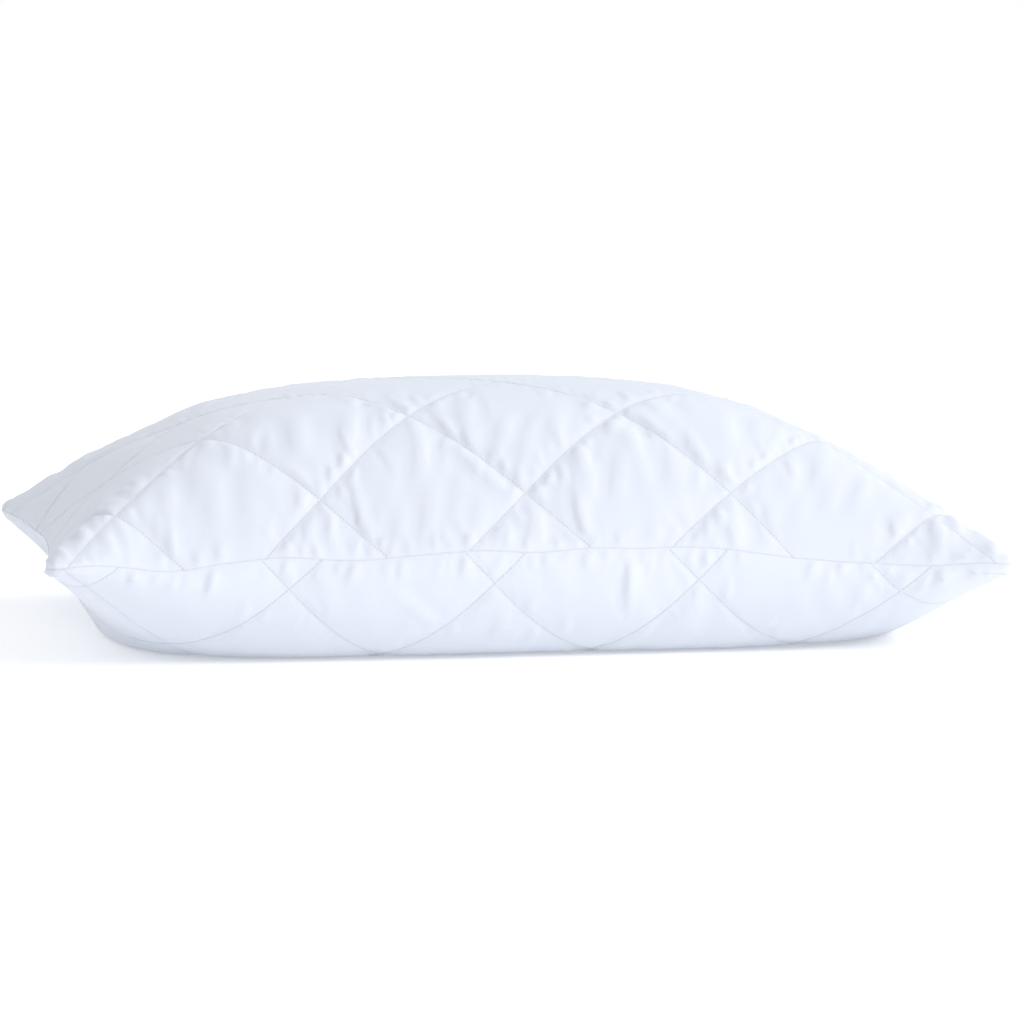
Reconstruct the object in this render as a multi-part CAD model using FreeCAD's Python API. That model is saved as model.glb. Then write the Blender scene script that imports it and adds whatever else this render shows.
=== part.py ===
"""Bed pillow: two quilted panels sewn together round a loose fibre filling.

The pillow lies flat. Its length is along X, its depth along Y and +Z is up. The origin is on the
floor, under the middle of the pillow. Each panel is a sandwich of face fabric, wadding and lining.

A place on a panel is named in its flat cloth, before filling: across and along run from -1 to 1,
and its reach is 0 in the middle and 1 on the seam. Filling draws the seam in and lets each panel
swell, from the seam to a level patch: the crown of the top panel, or the part of the bottom panel
that rests on the floor.
"""
import FreeCAD, Part
import math
import os

V = FreeCAD.Vector
UP = V(0, 0, 1)

# Driving dimensions, in millimetres
CLOTH_LENGTH = 740.0          # flat cloth between the short seams
CLOTH_DEPTH = 480.0           # flat cloth between the long seams
LENGTH = 710.0                # filled, from corner to corner
DEPTH = 456.0
HEIGHT = 188.0                # crown above the floor
SEAM_HEIGHT = 84.5            # seam above the floor, halfway along a long edge
LEFT_SEAM_DROP = 2.0          # how much lower the seam is at the corners
RIGHT_SEAM_DROP = 14.6
REAR_CORNER_DROP = 12.0       # further drop at the rear left corner
LONG_EDGE_PULL = 33.0         # a filled panel draws its edges in between the corners
SHORT_EDGE_PULL = 18.0
LONG_EDGE_POWER = 4           # a high power keeps the pull even and flares the corners
CORNER_POWER = 40.0           # a high power keeps the corners of the seam line tight
PATCH_POWER = 2.8             # the outline grows rounder towards the crown and the floor

# The sandwich, measured inward from the outside of the face fabric
FACE_THICKNESS = 0.6
WADDING_THICKNESS = 6.0
LINING_THICKNESS = 0.4
LAYER_GAP = 0.1

# How each panel swells: rise = 1 - share ** power, with a share of 0 at its patch, 1 at the seam
CROWN_PATCH = 0.12            # reach of the level patch on top
CROWN_POWER_LONG_EDGE = 3.4
CROWN_POWER_LEFT = 3.4
CROWN_POWER_RIGHT = 2.1       # the right end tapers more gently
REST_PATCH_LONG_EDGE = 0.68   # reach of the flat patch on the floor
REST_PATCH_END = 0.80

# Quilting: straight runs at 45 degrees to the edges of the flat cloth, in two crossing sets
DIAMOND = 155.0               # diagonal of one diamond
TOP_CROSSING = (0.0, 46.5)    # one crossing: from the middle, and in from the front seam
BOTTOM_CROSSING = (-27.1, 23.2)
THREAD_RADIUS = 0.25          # half the width of a run
THREAD_LIFT = 0.6             # thread centre outside the face fabric
CROSSING_LIFT = 0.7           # the second set of runs passes over the first
RUN_LIMIT = 0.985             # the runs stop this far out, just short of the seam
RUN_STEP = 12.0
RUN_FLOOR_CLEARANCE = 1.4     # the runs under the pillow are left out where it rests
RUNS_EACH_WAY = 6             # runs of one set on each side of its first

# The seam: the panels meet here, with the joining thread and the label between them
PANEL_GAP = 0.6               # half of the gap between the two panels
SEAM_THREAD_INSET = 1.4
SEAM_THREAD_RADIUS = 0.2
SEAM_THREAD_HEIGHT = 0.25     # above the middle of the gap
CLOSING_LENGTH = 180.0        # opening for the filling in the rear edge, sewn up last
STITCH_LINE_BREAK = 1.5       # between the ends of the two seam threads

# Overlock thread round the raw edges that are turned inside, and the filling behind it
OVERLOCK_INSET = 8.6
OVERLOCK_WIDTH = 4.0
OVERLOCK_HALF_THICKNESS = 0.9
FILL_CLEARANCE = 1.4

# Blank care label: a tape sewn into the rear seam that hangs down outside it
LABEL_PLACE = -0.70           # along the rear edge, from -1 to 1
LABEL_WIDTH = 32.0
LABEL_DROP = 34.0
LABEL_THICKNESS = 0.3
LABEL_HEIGHT = -0.35          # below the middle of the gap, clear of the thread
LABEL_HELD = 5.0              # length inside the seam
LABEL_STANDOFF = 1.5          # straight length outside the seam
LABEL_BEND = 2.0              # inner radius where it turns down

# How finely the curved surfaces are drawn
RINGS = 16                    # sections between a patch and the seam
SPOKES_PER_QUARTER = 24
SPOKE_CROWDING = 2            # a power: the spokes stand closer together at the corners
SEAM_POINTS_PER_QUARTER = 24
REACH_STEPS = 60              # for sharing the cloth out along a spoke
EDGE_SEARCH_STEP = 0.001      # quarter turns, for finding a distance along the rear edge
TINY = 1e-9                   # keeps a point on the swollen side of its patch


def cloth_reach(across, along, power=CORNER_POWER):
    """0 in the middle of the flat cloth and 1 on an outline that bounds it, such as the seam."""
    return (abs(across) ** power + abs(along) ** power) ** (1 / power)


def seam_point(across, along, inset=0.0, lift=0.0):
    """Point on the seam line straight out from a place on the cloth, moved in and up."""
    reach = cloth_reach(across, along)
    across = across / reach
    along = along / reach
    half_length = LENGTH / 2 - SHORT_EDGE_PULL * (1 - along ** 2) - inset
    half_depth = DEPTH / 2 - LONG_EDGE_PULL * (1 - across ** LONG_EDGE_POWER) - inset
    end_drop = RIGHT_SEAM_DROP if across > 0 else LEFT_SEAM_DROP
    rear_left = max(0.0, -across) * (1 + along) / 2
    height = SEAM_HEIGHT - end_drop * across ** 2 - REAR_CORNER_DROP * rear_left ** 2
    return V(across * half_length, along * half_depth, height + lift)


def direction(turn):
    """Way out from the middle, by quarter turns from the rear; close together at corners."""
    quarter = math.floor(turn)
    sweep = 2 * (turn - quarter) - 1
    from_corner = math.copysign(abs(sweep) ** SPOKE_CROWDING, sweep)
    angle = math.radians(90 * quarter + 135 + 45 * from_corner)
    return math.cos(angle), math.sin(angle)


def end_share(across, along):
    """0 straight towards a long edge and 1 straight towards an end."""
    return across ** 2 / (across ** 2 + along ** 2)


def crown_power(across, along):
    """Swelling power of the top panel in one direction from its middle."""
    end_power = CROWN_POWER_RIGHT if across > 0 else CROWN_POWER_LEFT
    share = end_share(across, along) ** 2
    return CROWN_POWER_LONG_EDGE + (end_power - CROWN_POWER_LONG_EDGE) * share


class Panel:
    """The upper (side 1) or lower (side -1) panel, at any depth into its sandwich."""

    def __init__(self, side, patches, crossing):
        self.side = side
        self.patches = patches
        self.crossing = crossing

    def patch(self, across, along):
        """Reach of the level patch in one direction from the middle."""
        long_edge, end = self.patches
        return long_edge + (end - long_edge) * end_share(across, along)

    def rise(self, across, along, share):
        if self.side > 0:
            return 1 - share ** crown_power(across, along)
        return math.sqrt(max(0.0, 1 - share ** 2))

    def point(self, across, along, reach, inset, seam_inset):
        """Point at a reach of the filled plan, at an inset from the outside of the panel."""
        rounding = cloth_reach(across, along) / cloth_reach(across, along, PATCH_POWER)
        patch = self.patch(across, along)
        patch_edge = seam_point(across, along) * (patch * rounding)
        patch_height = HEIGHT - inset if self.side > 0 else inset
        if reach <= patch:
            inward = reach / patch
            return V(patch_edge.x * inward, patch_edge.y * inward, patch_height)
        seam = seam_point(across, along, seam_inset, self.side * PANEL_GAP)
        share = (reach - patch) / (1 - patch)
        return V(patch_edge.x + (seam.x - patch_edge.x) * share,
                 patch_edge.y + (seam.y - patch_edge.y) * share,
                 seam.z + (patch_height - seam.z) * self.rise(across, along, share))

    def filled_reach(self, across, along):
        """Reach in the filled plan of a place on the cloth: cloth is shared out evenly."""
        patch = self.patch(across, along)
        reaches = [patch + (1 - patch) * k / REACH_STEPS for k in range(REACH_STEPS + 1)]
        points = [self.point(across, along, reach, 0, 0) for reach in reaches]
        lengths = [math.hypot(points[0].x, points[0].y)]
        for near, far in zip(points, points[1:]):
            lengths.append(lengths[-1] + near.distanceToPoint(far))
        wanted = cloth_reach(across, along) * lengths[-1]
        if wanted <= lengths[0]:
            return patch * wanted / lengths[0]
        for k in range(REACH_STEPS):
            if wanted <= lengths[k + 1]:
                part = (wanted - lengths[k]) / (lengths[k + 1] - lengths[k])
                return reaches[k] + part * (reaches[k + 1] - reaches[k])
        return 1.0

    def surface(self, inset, seam_inset):
        """The swollen part of the panel, from its patch (first edge) to the seam (last)."""
        shares = [math.sin(math.pi / 2 * k / RINGS) for k in range(RINGS + 1)]
        turns = [k / SPOKES_PER_QUARTER for k in range(4 * SPOKES_PER_QUARTER)]
        grid = []
        for turn in turns + turns[:1]:
            way = direction(turn)
            patch = self.patch(*way)
            reaches = [patch + (1 - patch) * share + TINY for share in shares]
            grid.append([self.point(*way, reach, inset, seam_inset) for reach in reaches])
        surface = Part.BSplineSurface()
        surface.interpolate(grid)
        return surface


TOP = Panel(1, (CROWN_PATCH, CROWN_PATCH), TOP_CROSSING)
BOTTOM = Panel(-1, (REST_PATCH_LONG_EDGE, REST_PATCH_END), BOTTOM_CROSSING)


def sewn_solid(faces):
    """One solid from faces that close a volume."""
    skin = Part.makeCompound(faces)
    skin.sewShape()
    solid = Part.makeSolid(skin.Shells[0])
    if solid.Volume < 0:
        solid.reverse()
    return solid


def patch_edge(surface):
    return surface.vIso(surface.bounds()[2]).toShape()


def seam_edge(surface):
    return surface.vIso(surface.bounds()[3]).toShape()


def bowl(surface):
    """A swollen surface with its level patch."""
    return [surface.toShape(), Part.Face(Part.Wire(patch_edge(surface)))]


def layer(panel, outside, thickness):
    """One layer of the sandwich."""
    outer = panel.surface(outside, outside)
    inner = panel.surface(outside + thickness, outside + thickness)
    rim = Part.makeRuledSurface(seam_edge(outer), seam_edge(inner))
    return sewn_solid(bowl(outer) + bowl(inner) + [rim])


def filling(inset, seam_inset):
    """The loose filling, out to the turned-in edges of the seam."""
    upper = TOP.surface(inset, seam_inset)
    lower = BOTTOM.surface(inset, seam_inset)
    rim = Part.makeRuledSurface(seam_edge(upper), seam_edge(lower))
    return sewn_solid(bowl(upper) + bowl(lower) + [rim])


def strand(points, half_width, half_height, closed=False):
    """A four-sided strand of thread or tape through points; closed ones are rings."""
    count = len(points)
    sections = []
    for k, point in enumerate(points):
        if closed:
            ahead = points[(k + 1) % count] - points[k - 1]
        else:
            ahead = points[min(k + 1, count - 1)] - points[max(k - 1, 0)]
        sideways = ahead.cross(UP).normalize()
        upward = sideways.cross(ahead).normalize()
        sections.append([point + sideways * (half_width * x) + upward * (half_height * y)
                         for x, y in ((1, 1), (-1, 1), (-1, -1), (1, -1))])
    edges = []
    for corner in range(4):
        path = [section[corner] for section in sections]
        curve = Part.BSplineCurve()
        curve.interpolate(path + path[:1] if closed else path)
        edges.append(curve.toShape())
    faces = [Part.makeRuledSurface(edges[k - 1], edges[k]) for k in range(4)]
    if not closed:
        faces += [Part.Face(Part.makePolygon(end + end[:1])) for end in (sections[0], sections[-1])]
    return sewn_solid(faces)


def run_points(panel, offset, slant, lift):
    """Stretches of one quilting run that lie outside the panel and clear of the floor."""
    reach_limit = (CLOTH_LENGTH + CLOTH_DEPTH) / 2
    stretches = [[]]
    for step in range(int(2 * reach_limit / RUN_STEP)):
        along = -CLOTH_DEPTH / 2 + RUN_STEP * (step + 0.5)
        across = offset + slant * along
        place = (2 * across / CLOTH_LENGTH, 2 * along / CLOTH_DEPTH)
        point = None
        if max(abs(place[0]), abs(place[1])) < 1 and cloth_reach(*place) < RUN_LIMIT:
            point = panel.point(*place, panel.filled_reach(*place), -lift, -lift)
        if point is not None and point.z > RUN_FLOOR_CLEARANCE:
            stretches[-1].append(point)
        elif stretches[-1]:
            stretches.append([])
    return [points for points in stretches if len(points) > 2]


def quilting_thread(panel):
    """Every run of both crossing sets, each a solid of its own."""
    crossing_across, crossing_in = panel.crossing
    crossing_along = crossing_in - CLOTH_DEPTH / 2
    threads = []
    for slant, lift in ((1, THREAD_LIFT), (-1, THREAD_LIFT + CROSSING_LIFT)):
        first = crossing_across - slant * crossing_along
        for k in range(-RUNS_EACH_WAY, RUNS_EACH_WAY + 1):
            for points in run_points(panel, first + k * DIAMOND, slant, lift):
                threads.append(strand(points, THREAD_RADIUS, THREAD_RADIUS))
    return Part.makeCompound(threads)


def seam_thread(start, end):
    """A stretch of joining thread, between two places counted in quarter turns."""
    count = round((end - start) * SEAM_POINTS_PER_QUARTER)
    points = []
    for k in range(count + 1):
        turn = start + (end - start) * k / count
        points.append(seam_point(*direction(turn), SEAM_THREAD_INSET, SEAM_THREAD_HEIGHT))
    return strand(points, SEAM_THREAD_RADIUS, SEAM_THREAD_RADIUS)


def turn_on_rear_edge(distance):
    """Quarter turns from the middle of the rear edge to a distance along it."""
    turn = 0.0
    while -seam_point(*direction(turn)).x < distance:
        turn += EDGE_SEARCH_STEP
    return turn


def overlock_thread():
    """A flat band all round, just inside the seam."""
    turns = [k / SEAM_POINTS_PER_QUARTER for k in range(4 * SEAM_POINTS_PER_QUARTER)]
    middle = OVERLOCK_INSET + OVERLOCK_WIDTH / 2
    points = [seam_point(*direction(turn), middle) for turn in turns]
    return strand(points, OVERLOCK_WIDTH / 2, OVERLOCK_HALF_THICKNESS, closed=True)


def care_label():
    """A tape that leaves the rear seam and hangs down outside it, drawn from its edge."""
    half = LABEL_THICKNESS / 2
    inside = LABEL_BEND
    outside = LABEL_BEND + LABEL_THICKNESS
    bend_middle = V(LABEL_STANDOFF, 0, -half - inside)

    def on_bend(radius, degrees):
        angle = math.radians(degrees)
        return bend_middle + V(radius * math.cos(angle), 0, radius * math.sin(angle))

    corners = [on_bend(outside, 0), on_bend(outside, 0) - V(0, 0, LABEL_DROP),
               on_bend(inside, 0) - V(0, 0, LABEL_DROP), on_bend(inside, 0)]
    held = [on_bend(inside, 90), V(-LABEL_HELD, 0, -half), V(-LABEL_HELD, 0, half),
            on_bend(outside, 90)]
    edges = [Part.LineSegment(a, b).toShape() for a, b in zip(corners, corners[1:])]
    edges.append(Part.Arc(corners[-1], on_bend(inside, 45), held[0]).toShape())
    edges += [Part.LineSegment(a, b).toShape() for a, b in zip(held, held[1:])]
    edges.append(Part.Arc(held[-1], on_bend(outside, 45), corners[0]).toShape())
    tape = Part.Face(Part.Wire(edges)).extrude(V(0, LABEL_WIDTH, 0))
    tape.translate(V(0, -LABEL_WIDTH / 2, LABEL_HEIGHT))

    seam = seam_point(LABEL_PLACE, 1.0)
    along_seam = (seam_point(LABEL_PLACE - 0.01, 1.0) - seam).normalize()
    outward = V(along_seam.y, -along_seam.x, 0).normalize()
    tape.Placement = FreeCAD.Placement(seam, FreeCAD.Rotation(
        outward, along_seam, outward.cross(along_seam), "XYZ")) * tape.Placement
    return tape


def main():
    os.makedirs("parts", exist_ok=True)
    wadding_start = FACE_THICKNESS + LAYER_GAP
    lining_start = wadding_start + WADDING_THICKNESS + LAYER_GAP
    fill_start = lining_start + LINING_THICKNESS + LAYER_GAP
    fill_seam = OVERLOCK_INSET + OVERLOCK_WIDTH + FILL_CLEARANCE
    nodes = {}
    for name, panel in (("top", TOP), ("bottom", BOTTOM)):
        nodes[name + "_face_fabric"] = layer(panel, 0, FACE_THICKNESS)
        nodes[name + "_wadding"] = layer(panel, wadding_start, WADDING_THICKNESS)
        nodes[name + "_lining"] = layer(panel, lining_start, LINING_THICKNESS)
        nodes[name + "_quilting_thread"] = quilting_thread(panel)
    nodes["fibre_fill"] = filling(fill_start, fill_seam)
    opening = turn_on_rear_edge(CLOSING_LENGTH / 2)
    stitched = turn_on_rear_edge(CLOSING_LENGTH / 2 + STITCH_LINE_BREAK)
    nodes["perimeter_seam_thread"] = seam_thread(stitched, 4 - stitched)
    nodes["closing_seam_thread"] = seam_thread(-opening, opening)
    nodes["seam_overlock_thread"] = overlock_thread()
    nodes["care_label"] = care_label()
    for name, shape in nodes.items():
        shape.exportStep("parts/" + name + ".step")
        print(name, "solids", len(shape.Solids), "valid", shape.isValid())


main()
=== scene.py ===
"""Looks of the bed pillow: two quilted panels, sewn at a plain seam, on a pale floor.

Each panel is a grid of cloth, laid over the filled form by a cloth simulation in code. The cloth
keeps its cut size, is held at its seam and along its quilting runs, can't sink into the filling,
and is pressed outward by it. It is laid on a coarse grid first, then on finer ones, and its folds
and puckers are started on the finest. Lengths are in metres.
"""
import math

import bpy
import numpy as np
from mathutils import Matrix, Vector


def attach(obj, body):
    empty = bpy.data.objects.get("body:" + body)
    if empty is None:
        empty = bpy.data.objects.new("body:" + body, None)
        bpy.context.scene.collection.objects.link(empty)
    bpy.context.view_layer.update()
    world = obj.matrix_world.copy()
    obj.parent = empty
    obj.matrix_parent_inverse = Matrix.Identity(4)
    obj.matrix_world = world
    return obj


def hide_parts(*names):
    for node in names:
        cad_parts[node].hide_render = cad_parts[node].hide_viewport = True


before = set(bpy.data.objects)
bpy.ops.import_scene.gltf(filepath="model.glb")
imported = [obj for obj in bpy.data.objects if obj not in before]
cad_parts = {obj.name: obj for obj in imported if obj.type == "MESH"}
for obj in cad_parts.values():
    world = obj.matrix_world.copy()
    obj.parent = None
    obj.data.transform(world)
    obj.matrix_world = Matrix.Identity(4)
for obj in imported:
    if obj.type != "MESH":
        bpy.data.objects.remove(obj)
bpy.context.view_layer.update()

# The filled form. Across runs from -1 at the left end to 1, along from -1 at the front to 1.
LENGTH = 0.7105
DEPTH = 0.462
LONG_EDGE_PULL = 0.0331
SHORT_EDGE_PULL = 0.0185
CROWN_HEIGHT = 0.1878
CROWN_TILT = 0.0747              # the crown is this share higher at the front
SEAM_MIDDLE = 0.0854
LEFT_SEAM_DROP = 0.0021
RIGHT_SEAM_DROPS = ((0.01065, 0.38, 0.18), (0.00355, 0.56, 0.20))    # depth, from across, over
REAR_CORNER_DROP = 0.0187
SEAM_WAVER = 0.0007
SEAM_SAGS = ((-0.72, 0.0055), (-0.30, 0.0028))       # across, depth
SEAM_SAG_WIDTH = 0.08
REST_HEIGHT = 0.0019             # the puffs of the underside hang below this
CORNER_POWER = 27.0
TOP_SIDE_POWER = 6.35            # rounds the form away from its square seam
BOTTOM_SIDE_POWER = 2.6
CROWN_POWERS = (4.41, 4.50, 3.60)        # long edges, left end, right end
CROWN_PEAK = 0.323
REST_SHARES = (0.640, 0.871, 0.90)       # level part underneath, in the same order
REST_POWERS = (2.0, 1.08, 1.38)

# The cloth's grid. The quilting runs lie on its diagonals.
STEPS_PER_DIAMOND = 40
STEP = 0.00387
COLUMNS = 192                    # 743 mm of cloth
ROWS = 124                       # 480 mm
ON_RUN = 0.1                     # grid points this few steps from a run are on it


def half_length(along):
    return LENGTH / 2 - SHORT_EDGE_PULL * (1 - along ** 2)


def half_depth(across):
    return DEPTH / 2 - LONG_EDGE_PULL * (1 - across ** 4)


def outline_norm(across, along, power):
    """0 in the middle of the cloth and 1 on an outline that bounds it."""
    return (np.abs(across) ** power + np.abs(along) ** power) ** (1 / power)


def ease(share):
    share = np.clip(share, 0, 1)
    return share * share * (3 - 2 * share)


def seam_height(across, along):
    sag = sum(depth * np.exp(-((across - place) / SEAM_SAG_WIDTH) ** 2)
              for place, depth in SEAM_SAGS)
    right_drop = sum(depth * ease((across - start) / width)
                     for depth, start, width in RIGHT_SEAM_DROPS)
    left_drop = LEFT_SEAM_DROP * ease((-across - 0.1) / 0.4)
    rear_drop = REAR_CORNER_DROP * ease(-across) * ease((along + 1) / 2)
    waver = np.sin(31 * across + 2 * along) + np.sin(17 * across + 9 * along + 1)
    return SEAM_MIDDLE + SEAM_WAVER * waver - right_drop - left_drop - sag - rear_drop


def seam_places(across, along):
    """Where the seam runs, straight out from cloth points."""
    reach = np.maximum(outline_norm(across, along, CORNER_POWER), 1e-9)
    across = across / reach
    along = along / reach
    x = across * half_length(along)
    y = along * half_depth(across)
    return np.stack([x, y, seam_height(across, along)], axis=-1)


def end_share(across, along):
    """0 straight towards a long edge and 1 straight towards an end."""
    return across ** 2 / (across ** 2 + along ** 2 + 1e-9)


def by_direction(across, choices, share):
    """A value between the ones for the long edges, the left end and the right end."""
    end = np.where(across > 0, choices[2], choices[1])
    return choices[0] + (end - choices[0]) * share


class Panel:
    """One quilted panel: the top one has side 1 and the bottom one side -1.

    The crossing of two runs is counted in grid steps from the front left corner. The puff is the
    wadding's rise between the runs, and the fold gap is in grid steps. A seam crease is a long one
    that starts at the front seam: (grid column, length, slant).
    """

    def __init__(self, name, side, crossing, puff, fold_gap, fold_height, seam_creases):
        self.name = name
        self.side = side
        self.crossing = crossing
        self.puff = puff
        self.fold_gap = fold_gap
        self.fold_height = fold_height
        self.seam_creases = seam_creases

    def level(self, x, y, z):
        """A field that is 0 on the filled form and grows outward."""
        across = x / half_length(np.clip(2 * y / DEPTH, -1, 1))
        along = y / half_depth(np.clip(2 * x / LENGTH, -1, 1))
        square = outline_norm(across, along, CORNER_POWER)
        blend = np.clip(square, 0, 1) ** 3
        power = TOP_SIDE_POWER if self.side > 0 else BOTTOM_SIDE_POWER
        reach = square * blend + outline_norm(across, along, power) * (1 - blend)
        seam_z = seam_height(np.clip(across, -1, 1), np.clip(along, -1, 1))
        if self.side > 0:
            share = (reach + CROWN_PEAK) / (1 + CROWN_PEAK)
            crown = CROWN_HEIGHT * (1 - CROWN_TILT * along)
            power = by_direction(across, CROWN_POWERS, ease(2 * end_share(across, along)))
            return share ** power + (z - seam_z) / (crown - seam_z) - 1
        rest = by_direction(across, REST_SHARES, end_share(across, along))
        power = by_direction(across, REST_POWERS, end_share(across, along))
        share = np.maximum(reach - rest, 0) / (1 - rest)
        drop = np.maximum(seam_z - z, 0) / (seam_z - REST_HEIGHT)
        return share ** power + drop ** power - 1

    def distance(self, cloth):
        """Height of cloth points above the filled form, and the way out of it."""
        nudge = 2e-4
        x, y, z = cloth[..., 0], cloth[..., 1], cloth[..., 2]
        here = self.level(x, y, z)
        slope = np.stack([self.level(x + nudge, y, z) - here,
                          self.level(x, y + nudge, z) - here,
                          self.level(x, y, z + nudge) - here], axis=-1) / nudge
        size = np.linalg.norm(slope, axis=-1) + 1e-9
        return here / size, slope / size[..., None]

    def run_offsets(self, i, j):
        """Steps across the cloth's diagonals from the nearest run of each crossing set."""
        half = STEPS_PER_DIAMOND / 2
        first = (i - j) - (self.crossing[0] - self.crossing[1])
        second = (i + j) - (self.crossing[0] + self.crossing[1])
        return [np.abs((offset + half) % STEPS_PER_DIAMOND - half) for offset in (first, second)]


TOP = Panel("top_panel", 1, (96, 12), 0.0033, 1.5, 1.15,
            ((65.5, 0.085, 0.16), (107.5, 0.065, 0.10), (26, 0.05, -0.1)))
BOTTOM = Panel("bottom_panel", -1, (89, 6), 0.0018, 3.2, 0.65,
               ((116, 0.060, 0.0), (34, 0.030, 0.05), (84, 0.022, 0.1)))

PUFF_SHOULDER = 0.0080           # how far from a run or the seam it gets most of the way up
CORNER_PUFF = 1.2                # in puffs: the cut edges folded up inside make corners blunt
CORNER_REACH = 0.028
CORNER_SHOULDER = 0.0025
CROWN_CALM = 0.85                # puffs and folds are this much lower in the middle of a panel
SLOPE_CALM_PUFFS = 0.35          # and this much lower on the slopes at its ends
SLOPE_CALM_FOLDS = 0.75
CROWN_AREA = (0.42, 0.40)        # from how far in from a long seam, over: in half depths
END_SLOPE = (0.20, 0.09)         # up to how far in from an end, over
SLOPE_SIDES = (0.055, 0.050)     # from how far in from a long seam, over
HALF_DEPTH = ROWS * STEP / 2

# Folds are drawn at random from ranges: of the length, of the width, of height over width
SHORT_FOLD = ((0.012, 0.036), (0.0022, 0.0038), (0.30, 0.80))
LONG_FOLD = ((0.040, 0.085), (0.0035, 0.0065), (0.20, 0.42))
SEAM_PUCKER = ((0.008, 0.024), (0.0020, 0.0034), (0.15, 0.50))
SEAM_PUCKERS = 150
CREASE_WIDTH = 0.0032
CREASE_HEIGHT = 0.0021
LONG_FOLD_SHARE = 0.16           # of the folds, those that reach far into a diamond
DENT_SHARE = 0.3                 # and those that go inward
FOLD_DRIFT = 0.36                # radians off the way from front to rear, as a rule
FOLD_CLEARANCE = 0.0035          # folds fade out this near to a run
SEAM_CLEARANCE = 0.006           # and this near to the seam
PUCKER_CLEARANCE = 0.002         # the seam's own puckers fade out this near to it
TALLEST_FOLD = 0.0026
BROAD_FOLDS = 0.00045            # height of the broad unevenness inside the diamonds
GATHER = 0.02                    # extra cloth drawn up beside the stitching
GATHER_UP = 0.25                 # share of it that is from front to rear too
GATHER_WIDTH = 0.008
LOOSEST = 0.0006                 # how far the cloth may lift off the wadding


def cloth_grid(refine):
    """Grid columns and rows, in steps from the front left corner of the cloth."""
    i = np.linspace(0, COLUMNS, int(COLUMNS * refine) + 1)
    j = np.linspace(0, ROWS, int(ROWS * refine) + 1)
    return np.meshgrid(i, j, indexing="ij")


def cloth_place(i, j):
    """Cloth points of the grid, from -1 to 1 each way, drawn in to the rounded corners."""
    across = 2 * i / COLUMNS - 1
    along = 2 * j / ROWS - 1
    square = np.maximum(np.abs(across), np.abs(along))
    reach = np.maximum(outline_norm(across, along, CORNER_POWER), 1e-9)
    draw_in = np.where(square > 0, square / reach, 1)
    return across * draw_in, along * draw_in


WAYS = ((1, 0), (0, 1), (1, 1), (1, -1))     # along the threads, then their diagonals


def fit_of(cloth, step):
    """How long the laid cloth is each way, as a share of its cut size."""
    edged = np.pad(cloth, ((1, 1), (1, 1), (0, 0)), mode="reflect", reflect_type="odd")
    columns, rows = cloth.shape[:2]
    shares = []
    for right, up in WAYS:
        ahead = edged[1 + right:1 + right + columns, 1 + up:1 + up + rows]
        behind = edged[1 - right:1 - right + columns, 1 - up:1 - up + rows]
        length = np.linalg.norm(ahead - behind, axis=-1)
        shares.append(length / (2 * step * math.hypot(right, up)))
    return np.stack(shares, axis=-1)


def link_set(shape, way, reach, start):
    """Slices of the grid that pair points a number of steps apart and share no point."""
    right, up = way[0] * reach, way[1] * reach
    columns, rows = shape[0] - abs(right), shape[1] - abs(up)
    low = -min(up, 0)
    if right:
        one = (slice(start, columns, 2 * reach), slice(low, low + rows))
        other = (slice(start + right, columns + right, 2 * reach),
                 slice(low + up, low + up + rows))
    else:
        one = (slice(0, columns), slice(start, rows, 2 * reach))
        other = (slice(0, columns), slice(start + up, rows + up, 2 * reach))
    return one, other


def make_links(fit, step, give, reach):
    """(points, points, length, give) for each set of links of that reach."""
    links = []
    for number, way in enumerate(WAYS[:2] if reach > 1 else WAYS):
        for start in range(2 * reach):
            one, other = link_set(fit.shape, way, reach, start)
            size = step * reach * math.hypot(*way)
            length = size * (fit[..., number][one] + fit[..., number][other]) / 2
            loose = give[number][one] if number > 1 else give[number]
            links.append((one, other, length, loose))
    return links


def pull(cloth, link, squeeze):
    """Move both ends of each link toward its length."""
    one, other, rest, give = link
    gap = cloth[other] - cloth[one]
    length = np.sqrt(np.einsum("ijk,ijk->ij", gap, gap)) + 1e-12
    share = (length - rest) / length * give / 2
    move = gap * np.where(share > 0, share, share * squeeze)[..., None]
    cloth[one] += move
    cloth[other] -= move


def outward_normals(cloth, side):
    run = np.gradient(cloth, axis=0)
    climb = np.gradient(cloth, axis=1)
    normal = np.cross(run, climb) * side
    return normal / (np.linalg.norm(normal, axis=-1, keepdims=True) + 1e-12)


FORM_EVERY = 4                   # rounds between two looks at where the form is
PUSH_OUT = 0.8                   # share of its depth that a point inside the form moves out
DRAW_BACK = 0.4                  # and of its lift above the loosest that another comes back
FARTHEST = 0.01                  # the most that the form moves a point in a round
FASTEST = 0.002
SPEED_KEPT = 0.9


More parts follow.
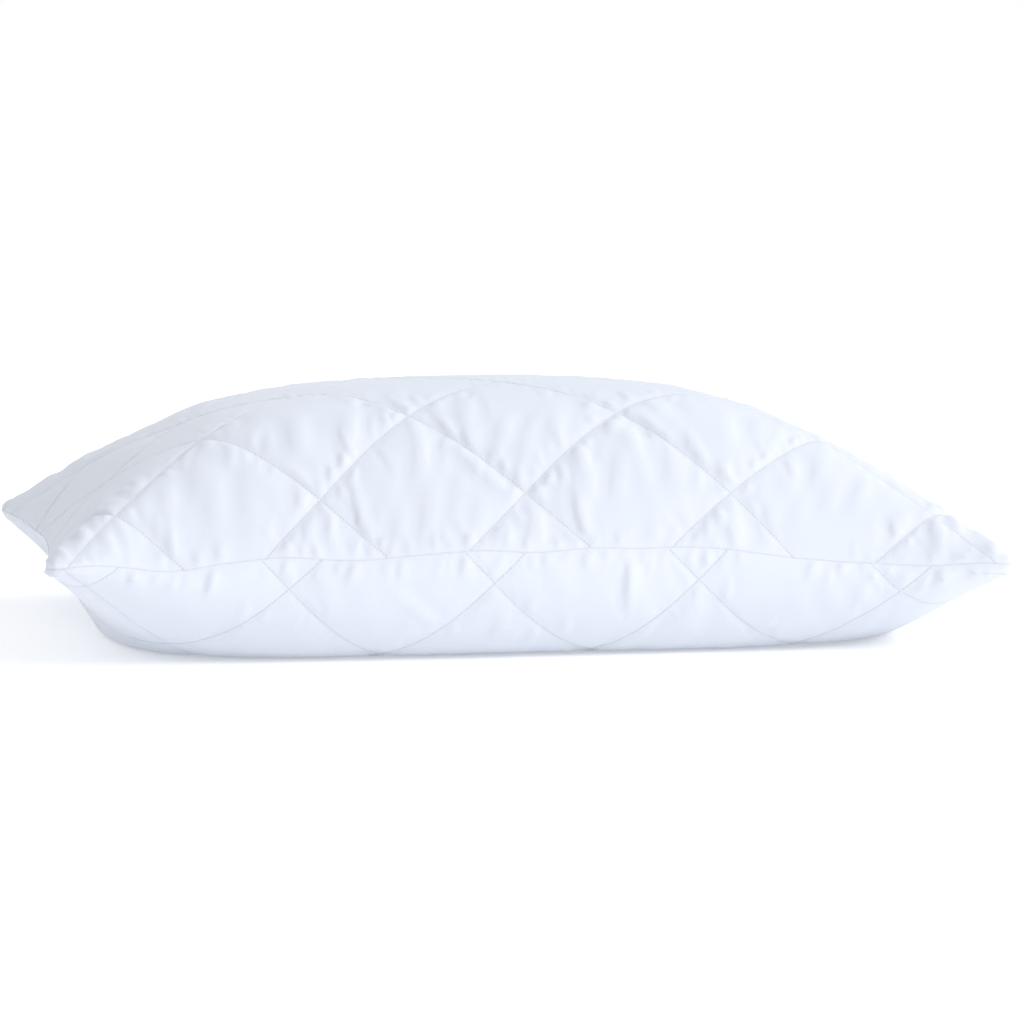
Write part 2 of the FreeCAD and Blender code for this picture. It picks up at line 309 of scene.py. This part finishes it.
def settle(panel, cloth, rounds, fit, step, seam, run_give, hold, stiffness, squeeze, pressure,
           lowest=0, loosest=1):
    """The cloth simulation. Points with hold are drawn to the form, others stay outside it."""
    give = (1.0, 1.0, run_give[0], run_give[1])
    threads = make_links(fit, step, give, 1)
    bends = [(link, stiff) for reach, stiff in stiffness
             for link in make_links(fit, step, (stiff, stiff), reach)]
    speed = np.zeros_like(cloth)
    for number in range(rounds):
        before = cloth.copy()
        cloth += speed
        if number % FORM_EVERY == 0:
            form_height, outward = panel.distance(cloth)
            form_at = cloth.copy()
            normals = outward_normals(cloth, panel.side)
        cloth += normals * pressure
        for link in threads:
            pull(cloth, link, squeeze)
        for link, stiff in bends:
            pull(cloth, link, 1.0)
        height = form_height + np.einsum("ijk,ijk->ij", cloth - form_at, outward) - lowest
        share = np.where(height < 0, np.maximum(hold, PUSH_OUT), hold)
        move = share * height + np.maximum(height - loosest, 0) * (1 - share) * DRAW_BACK
        cloth -= outward * np.clip(move, -FARTHEST, FARTHEST)[..., None]
        np.maximum(cloth[..., 2], 0, out=cloth[..., 2])
        cloth[0], cloth[-1] = seam[0], seam[-1]
        cloth[:, 0], cloth[:, -1] = seam[:, 0], seam[:, -1]
        speed = np.clip((cloth - before) * SPEED_KEPT, -FASTEST, FASTEST)
    return cloth


def finer(grid):
    """Twice as many points each way, on smooth curves through the given ones."""
    for axis in (0, 1):
        lines = np.moveaxis(grid, axis, 0)
        first = 2 * lines[0] - lines[1]
        last = 2 * lines[-1] - lines[-2]
        padded = np.concatenate([first[None], lines, last[None]])
        middle = (9 * (padded[1:-2] + padded[2:-1]) - padded[:-3] - padded[3:]) / 16
        result = np.empty((2 * len(lines) - 1,) + lines.shape[1:])
        result[0::2] = lines
        result[1::2] = middle
        grid = np.moveaxis(result, 0, axis)
    return np.ascontiguousarray(grid)


def patches(i, j, size, draws):
    """A smooth random field from 0 to 1 with features of that size in metres."""
    total = np.zeros_like(i)
    for _ in range(8):
        angle, phase = draws.uniform(0, 2 * math.pi, 2)
        length = size * draws.uniform(0.7, 1.6) / STEP
        total += np.sin((i * math.cos(angle) + j * math.sin(angle)) * 2 * math.pi / length + phase)
    return np.clip(0.6 + total / 4, 0, 1)


def edge_distances(i, j):
    """Cloth distances in metres to the nearer short seam and the nearer long seam."""
    return np.minimum(i, COLUMNS - i) * STEP, np.minimum(j, ROWS - j) * STEP


def run_distance(panel, i, j):
    return np.minimum(*panel.run_offsets(i, j)) * STEP / math.sqrt(2)


def fade_in(distance, width):
    """0 at no distance, and almost 1 from twice the width on."""
    return 1 - np.exp(-(distance / width) ** 2)


def calm(i, j, slope_calm):
    """1 near the long seams, less in the middle of the panel and on the slopes at its ends."""
    inward_x, inward_y = edge_distances(i, j)
    on_crown = ease((inward_y / HALF_DEPTH - CROWN_AREA[0]) / CROWN_AREA[1])
    near_end = ease((END_SLOPE[0] - inward_x) / END_SLOPE[1])
    on_slope = near_end * ease((inward_y - SLOPE_SIDES[0]) / SLOPE_SIDES[1])
    return (1 - CROWN_CALM * on_crown) * (1 - slope_calm * on_slope)


def wadding(panel, i, j):
    """Height of the wadding under each cloth point: it dips at the runs and the seam."""
    edge = np.minimum(*edge_distances(i, j))
    off_runs = 1 - np.exp(-run_distance(panel, i, j) / PUFF_SHOULDER)
    puffs = off_runs * (1 - np.exp(-edge / PUFF_SHOULDER)) * calm(i, j, SLOPE_CALM_PUFFS)
    from_corner = np.hypot(*edge_distances(i, j))
    blunt = np.exp(-(from_corner / CORNER_REACH) ** 2) * (1 - np.exp(-edge / CORNER_SHOULDER))
    return panel.puff * (puffs + CORNER_PUFF * blunt)


def add_fold(heights, i, j, start, way, length, width, height):
    """One fold that starts at a place and runs a length in one direction, from 0 to 0."""
    reach = (length + 3 * width) / STEP
    refine = (i.shape[0] - 1) / COLUMNS
    near = tuple(slice(max(0, int((at - reach) * refine)), int((at + reach) * refine) + 2)
                 for at in start)
    x = (i[near] - start[0]) * STEP
    y = (j[near] - start[1]) * STEP
    along = x * math.cos(way) + y * math.sin(way)
    aside = y * math.cos(way) - x * math.sin(way)
    aside = aside - width * 0.8 * np.sin(along / length * 2.5)
    body = ease(along / (0.25 * length)) * ease((length - along) / (0.6 * length))
    ridge = np.exp(-(aside / width) ** 2) - 0.45 * np.exp(-((aside - 1.9 * width) / width) ** 2)
    heights[near] += height * body * ridge


def drawn_fold(draws, ranges):
    """Length, width and height of a fold."""
    length, width, height = [draws.uniform(*between) for between in ranges]
    return length, width, width * height


def run_places(panel, draws):
    """Places on the runs of both crossing sets, unevenly apart."""
    places = []
    for slant in (1, -1):
        first = panel.crossing[0] - slant * panel.crossing[1]
        first -= STEPS_PER_DIAMOND * (COLUMNS // STEPS_PER_DIAMOND)
        for start in range(first, 2 * COLUMNS, STEPS_PER_DIAMOND):
            j = draws.uniform(0, panel.fold_gap)
            while j < ROWS:
                if 0 < start + slant * j < COLUMNS:
                    places.append((start + slant * j, j))
                j += panel.fold_gap * draws.uniform(0.4, 1.6)
    return places


def broad_folds(i, j, draws):
    """Soft unevenness, longer from front to rear than from end to end."""
    total = np.zeros_like(i)
    for _ in range(12):
        length = draws.uniform(0.018, 0.045) / STEP
        drift = draws.uniform(-0.5, 0.5)
        phase = draws.uniform(0, 2 * math.pi)
        total += np.sin((i + drift * j) * 2 * math.pi / length + phase)
    return BROAD_FOLDS * total / 2.4 * patches(i, j, 0.08, draws)


def folds(panel, i, j):
    """Heights of the folds that start at the runs and cross the diamonds."""
    draws = np.random.default_rng(11 if panel.side > 0 else 5)
    heights = broad_folds(i, j, draws)
    for place in run_places(panel, draws):
        way = math.copysign(math.pi / 2, draws.uniform(-1, 1)) + draws.normal(0, FOLD_DRIFT)
        ranges = SHORT_FOLD if draws.uniform() > LONG_FOLD_SHARE else LONG_FOLD
        length, width, height = drawn_fold(draws, ranges)
        if draws.uniform() < DENT_SHARE:
            height = -0.6 * height
        add_fold(heights, i, j, place, way, length, width, height)
    heights = TALLEST_FOLD * np.tanh(heights / TALLEST_FOLD)
    off_runs = fade_in(run_distance(panel, i, j), FOLD_CLEARANCE)
    off_seam = fade_in(np.minimum(*edge_distances(i, j)), SEAM_CLEARANCE)
    return heights * off_runs * off_seam * calm(i, j, SLOPE_CALM_FOLDS) * panel.fold_height


def seam_puckers(panel, i, j):
    """Short puckers, square to the seam."""
    draws = np.random.default_rng(21 if panel.side > 0 else 25)
    heights = np.zeros_like(i)
    for number in range(SEAM_PUCKERS):
        far_side = draws.integers(0, 2)
        if number % 3:
            place = (draws.uniform(4, COLUMNS - 4), ROWS * far_side)
            way = math.pi / 2 - math.pi * far_side
        else:
            place = (COLUMNS * far_side, draws.uniform(4, ROWS - 4))
            way = math.pi * far_side
        length, width, height = drawn_fold(draws, SEAM_PUCKER)
        add_fold(heights, i, j, place, way + draws.normal(0, 0.15), length, width, height)
    for column, length, slant in panel.seam_creases:
        add_fold(heights, i, j, (column, 0), math.pi / 2 + slant, length, CREASE_WIDTH,
                 CREASE_HEIGHT)
    off_runs = fade_in(run_distance(panel, i, j), FOLD_CLEARANCE)
    off_seam = fade_in(np.minimum(*edge_distances(i, j)), PUCKER_CLEARANCE)
    return heights * off_runs * off_seam


def slack(panel, i, j):
    """Extra cloth each way, gathered beside the runs."""
    draws = np.random.default_rng(3)
    beside_run = np.exp(-(run_distance(panel, i, j) / GATHER_WIDTH) ** 2)
    right = GATHER * beside_run * patches(i, j, 0.05, draws)
    up = right * GATHER_UP
    return np.stack([right, up, (right + up) / 2, (right + up) / 2], axis=-1)


# Grid points per step and rounds of the plain stages, in which the cloth takes the form
PLAIN_STAGES = ((1 / 4, 300), (1 / 2, 100))
# Points per step, rounds, bend links (reach, stiffness) and pressure of the quilted stages
QUILTED_STAGES = ((1, 80, ((2, 0.04),), 2e-7),
                  (2, 60, ((2, 0.05), (4, 0.02)), 1e-7))
BIAS_GIVE = 0.3                  # how hard a diagonal pulls, when a thread pulls with 1
PLAIN_HOLD = 0.5                 # share of its distance from the form that a point moves
RUN_HOLD = 0.6                   # and the same for a point on a run
PLAIN_SQUEEZE = 0.15             # how hard cloth resists being shortened, next to stretched
QUILTED_SQUEEZE = 0.5
DOME_HEIGHT = 0.08               # of the first guess


def seam_of(refine):
    return seam_places(*cloth_place(*cloth_grid(refine)))


def dome(panel, refine):
    """A first guess at the laid cloth."""
    across, along = cloth_place(*cloth_grid(refine))
    reach = np.maximum(np.abs(across), np.abs(along))
    cloth = seam_places(across, along) * reach[..., None]
    height = SEAM_MIDDLE + panel.side * DOME_HEIGHT * (1 - reach ** 3)
    cloth[..., 2] = np.maximum(height, REST_HEIGHT)
    return cloth


def lay_plain(panel, cloth, refine, rounds):
    """The cloth without quilting, drawn to the form everywhere."""
    shape = cloth.shape[:2]
    even = np.full(shape, BIAS_GIVE)
    return settle(panel, cloth, rounds, np.ones(shape + (4,)), STEP / refine, seam_of(refine),
                  (even, even), np.full(shape, PLAIN_HOLD), ((2, 0.05),), PLAIN_SQUEEZE, 0)


def lay_quilted(panel, cloth, refine, rounds, stiffness, pressure):
    """The cloth held at its runs, over the wadding, and with its folds on the finest grid."""
    i, j = cloth_grid(refine)
    on_run = [offset < ON_RUN for offset in panel.run_offsets(i, j)]
    run_give = [np.where(on, 1.0, BIAS_GIVE) for on in on_run]
    hold = np.where(on_run[0] | on_run[1], RUN_HOLD, 0)
    lowest = wadding(panel, i, j)
    lift = lowest
    if refine > 1:
        lift = folds(panel, i, j) + seam_puckers(panel, i, j)
        lowest = lowest + lift
    cloth += outward_normals(cloth, panel.side) * lift[..., None]
    fit = fit_of(cloth, STEP / refine) * (1 + slack(panel, i, j))
    if refine > 1 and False:
        return cloth
    return settle(panel, cloth, rounds, fit, STEP / refine, seam_of(refine), run_give, hold,
                  stiffness, QUILTED_SQUEEZE, pressure, lowest, LOOSEST)


def lay_cloth(panel):
    """The panel's points on a grid of 384 by 248 cells."""
    cloth = dome(panel, PLAIN_STAGES[0][0])
    for refine, rounds in PLAIN_STAGES:
        if refine > PLAIN_STAGES[0][0]:
            cloth = finer(cloth)
        cloth = lay_plain(panel, cloth, refine, rounds)
    for stage in QUILTED_STAGES:
        cloth = lay_quilted(panel, finer(cloth), *stage)
    return cloth


def grid_faces(columns, rows, flip):
    corner = (np.arange(columns)[:, None] * (rows + 1) + np.arange(rows)[None, :]).ravel()
    quads = np.stack([corner, corner + rows + 1, corner + rows + 2, corner + 1], axis=1)
    return quads[:, ::-1] if flip else quads


def new_mesh(name, points, faces):
    mesh = bpy.data.meshes.new(name)
    mesh.from_pydata(np.asarray(points).tolist(), [], np.asarray(faces).tolist())
    mesh.shade_smooth()
    piece = bpy.data.objects.new(name, mesh)
    bpy.context.scene.collection.objects.link(piece)
    return piece


def give_uv(piece, name, places):
    layer = piece.data.uv_layers.new(name=name)
    corners = np.empty(len(piece.data.loops), dtype=np.int32)
    piece.data.loops.foreach_get("vertex_index", corners)
    layer.data.foreach_set("uv", places[corners].ravel())


def make_panel(panel, cloth):
    piece = new_mesh(panel.name, cloth.reshape(-1, 3),
                     grid_faces(2 * COLUMNS, 2 * ROWS, panel.side < 0))
    i, j = cloth_grid(2)
    places = np.stack([i.ravel() - panel.crossing[0], j.ravel() - panel.crossing[1]], axis=1)
    give_uv(piece, "cloth", places * STEP)
    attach(piece, "root")
    return piece


THREAD_RADIUS = 0.00024
OFF_FLOOR = 0.0001               # no thread comes nearer to the floor
STITCH_SIDES = 5
STITCH_SHARES = (0.06, 0.24, 0.5, 0.76, 0.94)     # along a stitch, from one hole to the next
STITCH_HEIGHTS = (-0.3, 0.75, 1.1, 0.75, -0.3)    # above the cloth, in thread radii


def stitch_row(name, starts, ends, up):
    """One short bowed length of thread for each pair of needle holes."""
    along = ends - starts
    along = along / (np.linalg.norm(along, axis=1, keepdims=True) + 1e-12)
    side = np.cross(along, up)
    side = side / (np.linalg.norm(side, axis=1, keepdims=True) + 1e-12)
    up = np.cross(side, along)
    turns = np.linspace(0, 2 * math.pi, STITCH_SIDES, endpoint=False)
    rings = []
    for share, height in zip(STITCH_SHARES, STITCH_HEIGHTS):
        middle = starts + (ends - starts) * share + up * height * THREAD_RADIUS
        for turn in turns:
            rings.append(middle + (side * math.cos(turn) + up * math.sin(turn)) * THREAD_RADIUS)
    points = np.stack(rings, axis=1)
    points[..., 2] = np.maximum(points[..., 2], OFF_FLOOR)
    faces = []
    for ring in range(len(STITCH_SHARES) - 1):
        for k in range(STITCH_SIDES):
            here = ring * STITCH_SIDES + k
            beside = ring * STITCH_SIDES + (k + 1) % STITCH_SIDES
            faces.append((here, beside, beside + STITCH_SIDES, here + STITCH_SIDES))
    per_stitch = points.shape[1]
    first = np.arange(len(points))[:, None, None] * per_stitch
    piece = new_mesh(name, points.reshape(-1, 3), (np.array(faces)[None] + first).reshape(-1, 4))
    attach(piece, "root")
    return piece


def quilting_stitches(panel, cloth):
    """A stitch along each grid diagonal that lies on a quilting run."""
    up = outward_normals(cloth, panel.side)
    i, j = cloth_grid(2)
    first, second = [offset < ON_RUN for offset in panel.run_offsets(i, j)]
    rising = first[:-1, :-1]
    falling = second[:-1, 1:]
    starts = np.concatenate([cloth[:-1, :-1][rising], cloth[:-1, 1:][falling]])
    ends = np.concatenate([cloth[1:, 1:][rising], cloth[1:, :-1][falling]])
    normals = np.concatenate([up[:-1, :-1][rising], up[:-1, 1:][falling]])
    return stitch_row(panel.name.replace("panel", "quilting_stitches"), starts, ends, normals)


CLOSING_LENGTH = 0.180
WHIP_REACH = 0.0009              # how far from the seam a hand stitch goes
LABEL_PLACE = -0.70              # along the rear seam, from -1 to 1
LABEL_WIDTH = 0.032
LABEL_DROP = 0.034
LABEL_THICKNESS = 0.0004
LABEL_HELD = 0.005               # inside the seam
LABEL_STANDOFF = 0.0020
LABEL_BEND = 0.0022
LABEL_CURL = 0.0030              # how far the free end curls out


def rim_of(grid):
    """The edge of a grid, once round."""
    return np.concatenate([grid[:-1, 0], grid[-1, :-1], grid[:0:-1, -1], grid[0, :0:-1]])


def seam_rows(cloth):
    """Machine stitches all along the seam, but for the opening, which is whipped shut by hand."""
    rim = rim_of(cloth)
    out = rim_of(outward_normals(cloth, 1)) * (1, 1, 0)
    following = np.roll(rim, -1, axis=0)
    closing = (rim[:, 1] > DEPTH / 4) & (np.abs(rim[:, 0]) < CLOSING_LENGTH / 2)
    seam = stitch_row("seam_stitches", rim[~closing], following[~closing], out[~closing])
    starts = rim[closing][::2] - (0, 0, WHIP_REACH)
    ends = following[closing][::2] + (0, 0, WHIP_REACH)
    return seam, stitch_row("closing_stitches", starts, ends, out[closing][::2])


def hung_label():
    """A blank tape, held in the rear seam, that bends over it and hangs down outside."""
    root = seam_places(np.array(LABEL_PLACE), np.array(1.0))
    beside = seam_places(np.array(LABEL_PLACE - 0.01), np.array(1.0)) - root
    beside = beside / np.linalg.norm(beside)
    outward = np.cross(beside, (0, 0, 1))
    outward = outward / np.linalg.norm(outward)
    if outward[1] < 0:
        outward = -outward
    bend = LABEL_BEND * math.pi / 2
    length = LABEL_HELD + LABEL_STANDOFF + bend + LABEL_DROP
    path = np.linspace(0, length, 60) - LABEL_HELD
    turned = np.clip((path - LABEL_STANDOFF) / LABEL_BEND, 0, math.pi / 2)
    hanging = np.maximum(path - LABEL_STANDOFF - bend, 0)
    out = np.minimum(path, LABEL_STANDOFF) + LABEL_BEND * np.sin(turned)
    down = LABEL_BEND * (1 - np.cos(turned)) + hanging
    across = np.linspace(-0.5, 0.5, 33)
    out, across = np.meshgrid(out, across, indexing="ij")
    free = np.meshgrid(hanging / LABEL_DROP, across[0], indexing="ij")[0]
    out = out + LABEL_CURL * free ** 2 * (np.cos(2.6 * across + 0.5) - 0.4 + 0.5 * across)
    points = (root + outward * out[..., None] + beside * (across * LABEL_WIDTH)[..., None]
              - np.array((0, 0, 1)) * np.meshgrid(down, across[0], indexing="ij")[0][..., None])
    return points, length


def make_label():
    """The label's tape as a thin closed sheet."""
    points, length = hung_label()
    half = outward_normals(points, 1) * LABEL_THICKNESS / 2
    columns, rows = points.shape[0] - 1, points.shape[1] - 1
    count = points.shape[0] * points.shape[1]
    front = grid_faces(columns, rows, False)
    back = grid_faces(columns, rows, True) + count
    number = np.arange(count).reshape(points.shape[:2])
    edge = rim_of(number[..., None])[:, 0]
    following = np.roll(edge, -1)
    rim = np.stack([edge, edge + count, following + count, following], axis=1)
    piece = new_mesh("hanging_label", np.concatenate([(points + half).reshape(-1, 3),
                                                      (points - half).reshape(-1, 3)]),
                     np.concatenate([front, back, rim]))
    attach(piece, "root")
    return piece


def node(tree, kind, links=(), **values):
    made = tree.nodes.new(kind)
    for name, value in values.items():
        setattr(made, name, value)
    for socket, source in links:
        if hasattr(source, "links"):
            tree.links.new(source, made.inputs[socket])
        else:
            made.inputs[socket].default_value = source
    return made


def maths(tree, operation, *sources):
    made = node(tree, "ShaderNodeMath", list(enumerate(sources)), operation=operation)
    return made.outputs[0]


def mixed(tree, share, first, second):
    """A colour between two, (red, green, blue, 1) or from another node."""
    mix = node(tree, "ShaderNodeMix", [(0, share), (6, first), (7, second)], data_type="RGBA")
    return mix.outputs[2]


def faded(tree, value, start, end, **options):
    """1 up to a start and 0 from an end on."""
    links = [("Value", value), ("From Min", start), ("From Max", end), ("To Min", 1.0),
             ("To Max", 0.0)]
    return node(tree, "ShaderNodeMapRange", links, **options).outputs[0]


def bumped(tree, height, strength, distance, under=None, **options):
    """A bump, on top of another if there is one."""
    links = [("Height", height), ("Strength", strength), ("Distance", distance)]
    if under is not None:
        links.append(("Normal", under))
    return node(tree, "ShaderNodeBump", links, **options).outputs[0]


def new_material(name, colour, roughness, sheen):
    material = bpy.data.materials.new(name)
    material.use_nodes = True
    shader = material.node_tree.nodes["Principled BSDF"]
    shader.inputs["Base Color"].default_value = (*colour, 1)
    shader.inputs["Roughness"].default_value = roughness
    shader.inputs["Specular IOR Level"].default_value = 0.3
    shader.inputs["Sheen Weight"].default_value = sheen
    shader.inputs["Sheen Roughness"].default_value = 0.5
    return material, material.node_tree, shader


COTTON = (0.70, 0.735, 0.79)
COTTON_SHADES = ((0.672, 0.712, 0.792, 1), (0.718, 0.757, 0.838, 1))
# Painted shade in the needle holes: its colour, and how far a hole is darkened toward it.
HOLE_PAINTED_SHADE = (0.28, 0.31, 0.36, 1)
HOLE_PAINTED_SHADE_SHARE = 0.2
HOLE_RIM = (0.0002, 0.0008)      # from its middle, where a hole starts to end and ends
DRAWN_IN = 0.009                 # how far from a run the crinkle goes
CRINKLE_SCALE = (210.0, 70.0, 1.0)
WEAVE_PITCH = 0.0005
WAVE_SCALE = math.pi / 10        # a Wave texture of scale 1 repeats this often


def run_fields(tree, cloth):
    """Distance from the nearest run, and from the nearest needle hole."""
    split = node(tree, "ShaderNodeSeparateXYZ", [("Vector", cloth)])
    first = maths(tree, "SUBTRACT", split.outputs[0], split.outputs[1])
    second = maths(tree, "ADD", split.outputs[0], split.outputs[1])
    near = []
    for offset in (first, second):
        nearest = maths(tree, "PINGPONG", offset, STEPS_PER_DIAMOND * STEP / 2)
        near.append(maths(tree, "MULTIPLY", nearest, math.sqrt(0.5)))
    run = maths(tree, "MINIMUM", near[0], near[1])
    on_first = maths(tree, "COMPARE", run, near[0], 1e-7)
    path = node(tree, "ShaderNodeMix", [("Factor", on_first), ("A", first), ("B", second)],
                data_type="FLOAT").outputs[0]
    aside = maths(tree, "MULTIPLY", maths(tree, "PINGPONG", path, STEP / 2), math.sqrt(0.5))
    squares = [maths(tree, "POWER", way, 2.0) for way in (aside, run)]
    return run, maths(tree, "SQRT", maths(tree, "ADD", *squares))


def weave_height(tree, cloth):
    """Threads both ways, a little uneven."""
    links = [("Vector", cloth), ("Scale", WAVE_SCALE / WEAVE_PITCH), ("Distortion", 0.6),
             ("Detail", 1.0)]
    threads = [node(tree, "ShaderNodeTexWave", links, wave_type="BANDS",
                    bands_direction=direction).outputs["Fac"] for direction in ("X", "Y")]
    return maths(tree, "MAXIMUM", *threads)


def crinkle_height(tree, cloth, run):
    """Fine crinkle beside the stitching, longer from front to rear."""
    stretched = node(tree, "ShaderNodeMapping", [("Vector", cloth), ("Scale", CRINKLE_SCALE)])
    noise = node(tree, "ShaderNodeTexNoise", [("Vector", stretched.outputs[0]), ("Scale", 1.0),
                                              ("Detail", 2.0)])
    near_run = faded(tree, run, 0.0, DRAWN_IN, interpolation_type="SMOOTHSTEP")
    return maths(tree, "MULTIPLY", noise.outputs["Fac"], near_run)


def cotton_material():
    """Fine plain weave in cool white, drawn in beside the stitching, with dented needle holes
    darkened by painted shade.
    """
    material, tree, shader = new_material("white_cotton", COTTON, 0.85, 0.15)
    cloth = node(tree, "ShaderNodeUVMap", uv_map="cloth").outputs[0]
    run, hole = run_fields(tree, cloth)
    holes = faded(tree, hole, *HOLE_RIM)
    mottle = node(tree, "ShaderNodeTexNoise", [("Vector", cloth), ("Scale", 14.0),
                                               ("Detail", 3.0)]).outputs["Fac"]
    tint = mixed(tree, mottle, *COTTON_SHADES)
    # The needle holes are darkened with painted shade.
    with_painted_hole_shade = mixed(tree, maths(tree, "MULTIPLY", holes, HOLE_PAINTED_SHADE_SHARE), tint, HOLE_PAINTED_SHADE)
    tree.links.new(with_painted_hole_shade, shader.inputs["Base Color"])
    fine = bumped(tree, weave_height(tree, cloth), 0.35, 0.00006)
    drawn = bumped(tree, crinkle_height(tree, cloth, run), 0.6, 0.0008, fine)
    punched = bumped(tree, holes, 0.8, 0.0004, drawn, invert=True)
    tree.links.new(punched, shader.inputs["Normal"])
    return material


# The darker colour is painted shade in the grooves of the twist. The lighter one is the thread's
# own white.
THREAD_TWIST_PAINTED_SHADES = ((0.66, 0.69, 0.74, 1), (0.84, 0.86, 0.89, 1))
TWIST_PITCH = 0.0004


def thread_material():
    """Twisted white polyester, the grooves of its twist darkened with painted shade."""
    material, tree, shader = new_material("white_thread", (0.78, 0.80, 0.84), 0.55, 0.2)
    place = node(tree, "ShaderNodeTexCoord").outputs["Object"]
    twist = node(tree, "ShaderNodeTexWave", [("Vector", place), ("Distortion", 2.0),
                                             ("Scale", WAVE_SCALE / TWIST_PITCH)],
                 bands_direction="DIAGONAL")
    # Painted shade: the low parts of the twist, its grooves, get the darker colour.
    shades = mixed(tree, twist.outputs["Fac"], *THREAD_TWIST_PAINTED_SHADES)
    tree.links.new(shades, shader.inputs["Base Color"])
    bump = bumped(tree, twist.outputs["Fac"], 0.5, 0.00008)
    tree.links.new(bump, shader.inputs["Normal"])
    return material


SATIN_SHADES = ((0.76, 0.77, 0.79, 1), (0.84, 0.85, 0.87, 1))
WEFT_PITCH = 0.0003


def satin_material():
    """White woven satin tape."""
    material, tree, shader = new_material("label_satin", (0.80, 0.81, 0.83), 0.38, 0.25)
    place = node(tree, "ShaderNodeTexCoord").outputs["Object"]
    weft = node(tree, "ShaderNodeTexWave", [("Vector", place), ("Distortion", 0.8),
                                            ("Scale", WAVE_SCALE / WEFT_PITCH)],
                bands_direction="Z")
    streaks = node(tree, "ShaderNodeTexNoise", [("Vector", place), ("Scale", 300.0)])
    shades = mixed(tree, streaks.outputs["Fac"], *SATIN_SHADES)
    tree.links.new(shades, shader.inputs["Base Color"])
    bump = bumped(tree, weft.outputs["Fac"], 0.4, 0.00005)
    tree.links.new(bump, shader.inputs["Normal"])
    return material


CAMERA_AZIMUTH = -8.48
CAMERA_ELEVATION = 8.28
CAMERA_DISTANCE = 5.2
CAMERA_LENS = 244.0
AIM_HEIGHT = 0.0852
AIM_RIGHT = 0.0154


def make_camera():
    """The photographed view: a long lens, a little to the left of the front and above."""
    azimuth = math.radians(CAMERA_AZIMUTH)
    elevation = math.radians(CAMERA_ELEVATION)
    back = Vector((math.sin(azimuth) * math.cos(elevation),
                   -math.cos(azimuth) * math.cos(elevation), math.sin(elevation)))
    data = bpy.data.cameras.new("camera")
    data.lens = CAMERA_LENS
    camera = bpy.data.objects.new("camera", data)
    camera.rotation_mode = "QUATERNION"
    camera.rotation_quaternion = back.to_track_quat("Z", "Y")
    right = camera.rotation_quaternion @ Vector((1, 0, 0))
    camera.location = Vector((0, 0, AIM_HEIGHT)) + right * AIM_RIGHT + back * CAMERA_DISTANCE
    bpy.context.scene.collection.objects.link(camera)
    bpy.context.scene.camera = camera


def area_light(name, place, size, power, colour):
    data = bpy.data.lights.new(name, "AREA")
    data.size = size
    data.energy = power
    data.color = colour
    light = bpy.data.objects.new(name, data)
    light.location = place
    light.rotation_mode = "QUATERNION"
    light.rotation_quaternion = (Vector(place) - Vector((0, 0, 0.1))).to_track_quat("Z", "Y")
    bpy.context.scene.collection.objects.link(light)


WHITE = (1, 1, 1, 1)
FLOOR_HALF = 30
FLOOR_COLOUR = (0.96, 0.96, 0.96)
FLOOR_GLOW = 0.23
WORLD_STRENGTH = 0.78
LIGHTS = (("key", (3.2, -3.0, 2.6), 1.6, 98, (1, 1, 1)),     # name, place, size, watts, colour
          ("overhead", (1.8, 1.2, 2.4), 1.8, 23, (0.86, 0.94, 1.0)))


def make_floor():
    corners = [(-FLOOR_HALF, -FLOOR_HALF, 0), (FLOOR_HALF, -FLOOR_HALF, 0),
               (FLOOR_HALF, FLOOR_HALF, 0), (-FLOOR_HALF, FLOOR_HALF, 0)]
    floor = new_mesh("floor", corners, [(0, 1, 2, 3)])
    material, _, shader = new_material("pale_floor", FLOOR_COLOUR, 0.9, 0)
    shader.inputs["Emission Color"].default_value = WHITE
    shader.inputs["Emission Strength"].default_value = FLOOR_GLOW
    floor.data.materials.append(material)


def make_studio():
    make_floor()
    world = bpy.data.worlds.new("studio")
    world.use_nodes = True
    background = world.node_tree.nodes["Background"]
    background.inputs["Color"].default_value = WHITE
    background.inputs["Strength"].default_value = WORLD_STRENGTH
    bpy.context.scene.world = world
    bpy.context.scene.view_settings.view_transform = "Standard"
    for light in LIGHTS:
        area_light(*light)


top_cloth = lay_cloth(TOP)
top_panel = make_panel(TOP, top_cloth)
top_stitches = quilting_stitches(TOP, top_cloth)
seam_stitches, closing_stitches = seam_rows(top_cloth)
bottom_cloth = lay_cloth(BOTTOM)
bottom_panel = make_panel(BOTTOM, bottom_cloth)
bottom_stitches = quilting_stitches(BOTTOM, bottom_cloth)
label = make_label()

cotton = cotton_material()
for piece in (top_panel, bottom_panel):
    piece.data.materials.append(cotton)
thread = thread_material()
for piece in (top_stitches, bottom_stitches, seam_stitches, closing_stitches):
    piece.data.materials.append(thread)
label.data.materials.append(satin_material())

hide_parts("top_face_fabric", "top_wadding", "top_lining", "fibre_fill",
            "seam_overlock_thread")
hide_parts("top_quilting_thread")
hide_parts("bottom_face_fabric", "bottom_wadding", "bottom_lining")
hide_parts("bottom_quilting_thread")
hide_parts("perimeter_seam_thread")
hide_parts("closing_seam_thread")
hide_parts("care_label")
make_studio()
make_camera()
